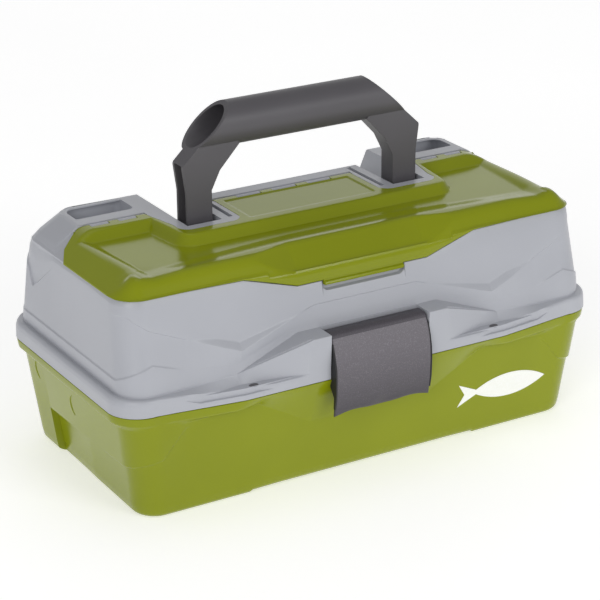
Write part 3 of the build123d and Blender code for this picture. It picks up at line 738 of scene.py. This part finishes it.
def boss_arc(side, y, z, name):
    """A thin raised arc on the end wall in front of an arm pivot: part of a ring, drawn on the wall."""
    turn = np.linspace(math.radians(120), math.radians(240), 25)
    round_ = np.linspace(0, 2 * math.pi, 9)[:-1]
    centre_z = z + 8.0 * np.sin(turn)
    thick = 0.45 * np.sin(np.linspace(0.15, math.pi - 0.15, 25)) ** 0.4
    wall = tub_x(centre_z) + 1.75
    x = side * (wall[:, None] + thick[:, None] * np.sin(round_))
    reach = 8.0 + thick[:, None] * np.cos(round_)
    points = np.stack([x, y - reach * np.cos(turn)[:, None], z + reach * np.sin(turn)[:, None]], -1)
    faces = grid_faces(25, 8, False, True).tolist() + [list(range(8)), list(range(192, 200))]
    return solid_from(name, points, faces, GREEN, "base")


TURN = np.radians(np.linspace(-62, 128, 24))
BARREL = np.stack([92 + 5.5 * np.cos(TURN), 73 + 5.5 * np.sin(TURN)], -1)
KNUCKLE = np.concatenate([[(82.6, 55.0)], BARREL, [(82.6, 71.8)]])
for side, label in ((-1, "left"), (1, "right")):
    boss_arc(side, 46.0, 55.5, f"boss_arc_rear_{label}")
    boss_arc(side, -3.5, 49.5, f"boss_arc_front_{label}")
    low_x, high_x = sorted((side * 158.8, side * 162.4))
    for spot, y, z in (("rear", 45.0, 56.0), ("front", -5.0, 46.0)):
        swept(f"arm_boss_{spot}_{label}", circle(y, z, 8.0, 40), low_x, high_x, 0.5,
              GREEN, "base")
    for number, middle in enumerate((76.0, 100.0, 124.0)):
        swept(f"hinge_knuckle_{label}_{number + 1}", KNUCKLE, side * middle - 5.8, side * middle + 5.8,
              0.4, GREEN, "base")
    oval_slot(side, f"drain_slot_{label}")


# ---------------------------------------------------------------- handle, tray and carried-over parts
softened("handle", "carry_handle", "handle", HANDLE_DARK, 1.2, 3)
softened("tray_shell", "tray", "tray", TRAY_GREY, 0.4)

finishes = {"steel": STEEL, "tray_plastic": TRAY_GREY, "dark_arm": ARM_DARK, "white_print": WHITE,
            "green_plastic": GREEN, "grey_plastic": GREY, "dark_plastic": HANDLE_DARK}
for part in frame["record"]["subparts"]:
    node = frame["nodes"][part["node"]]
    if not node.hide_render:
        node.data.materials.clear()
        node.data.materials.append(finishes[part["material_slot"]])


# ---------------------------------------------------------------- stage, light and camera
def stage_floor():
    """A pale floor that curls up far behind the box: a straight run, then a quarter circle."""
    run = np.linspace(-3.0, 3.0, 13)
    turn = np.linspace(0, math.pi / 2, 17)
    across = np.linspace(-24, 24, 3)
    y = np.concatenate([run * 6.0, 18.0 + 2.0 * np.sin(turn[1:])])
    z = np.concatenate([run * 0, 2.0 - 2.0 * np.cos(turn[1:])])
    points = np.stack(np.broadcast_arrays(across[None, :], y[:, None], z[:, None]), -1)
    mesh = bpy.data.meshes.new("floor")
    mesh.from_pydata(points.reshape(-1, 3).tolist(), [], grid_faces(len(y), 3).tolist())
    kit = Kit("pale_floor")
    shade = kit.noise(3.0)
    tone = kit.mix(shade, colour(243, 243, 243), colour(246, 246, 246))
    mesh.materials.append(kit.finish(Base_Color=tone, Roughness=0.8, Emission_Color=tone,
                                     Emission_Strength=0.5))
    mesh.shade_smooth()
    floor = bpy.data.objects.new("floor", mesh)
    bpy.context.scene.collection.objects.link(floor)


def softbox(name, place, aim, size, power):
    """A square area light at place, pointing at aim."""
    data = bpy.data.lights.new(name, "AREA")
    data.shape = "RECTANGLE"
    data.size, data.size_y = size
    data.energy = power
    lamp = bpy.data.objects.new(name, data)
    direction = np.array(aim) - np.array(place)
    lamp.location = place
    lamp.rotation_mode = "QUATERNION"
    lamp.rotation_quaternion = Vector(direction).to_track_quat("-Z", "Y")
    bpy.context.scene.collection.objects.link(lamp)


stage_floor()
bpy.context.scene.view_settings.view_transform = "Standard"
softbox("key_light", (-2.3, -1.9, 1.5), (0, 0, 0.1), (1.4, 1.4), 25.0)
softbox("fill_light", (0.9, -2.8, 1.3), (0, 0, 0.1), (1.4, 1.0), 22.0)
softbox("top_light", (0.2, 0.3, 2.6), (0, 0, 0.1), (1.2, 1.2), 2.0)
softbox("back_panel", (1.9, 3.3, 1.5), (0, 0, 0.15), (5.0, 2.2), 24.0)
world = bpy.data.worlds.new("studio")
world.use_nodes = True
world.node_tree.nodes["Background"].inputs[0].default_value = (1.0, 1.0, 1.0, 1.0)
world.node_tree.nodes["Background"].inputs[1].default_value = 0.38
bpy.context.scene.world = world


def look():
    """Camera from its turn, tilt and roll in degrees; the picture's middle is on its axis."""
    yaw, pitch, roll = (math.radians(v) for v in (30.335, 22.0, -0.5355))
    view = np.array([math.sin(yaw) * math.cos(pitch), math.cos(yaw) * math.cos(pitch), -math.sin(pitch)])
    level = np.array([math.cos(yaw), -math.sin(yaw), 0])
    upright = np.cross(level, view)
    right = level * math.cos(roll) + upright * math.sin(roll)
    up = upright * math.cos(roll) - level * math.sin(roll)
    data = bpy.data.cameras.new("camera")
    data.sensor_width = 36.0
    data.lens = 36.0 * 2178.4 / 600
    data.clip_start, data.clip_end = 0.1, 50.0
    camera = bpy.data.objects.new("camera", data)
    matrix = Matrix.Identity(4)
    for column, axis in enumerate((right, up, -view)):
        for line in range(3):
            matrix[line][column] = axis[line]
    for line, value in enumerate((-0.65868, -1.12118, 0.60989)):
        matrix[line][3] = value
    camera.matrix_world = matrix
    bpy.context.scene.collection.objects.link(camera)
    bpy.context.scene.camera = camera


look()
bpy.context.view_layer.update()
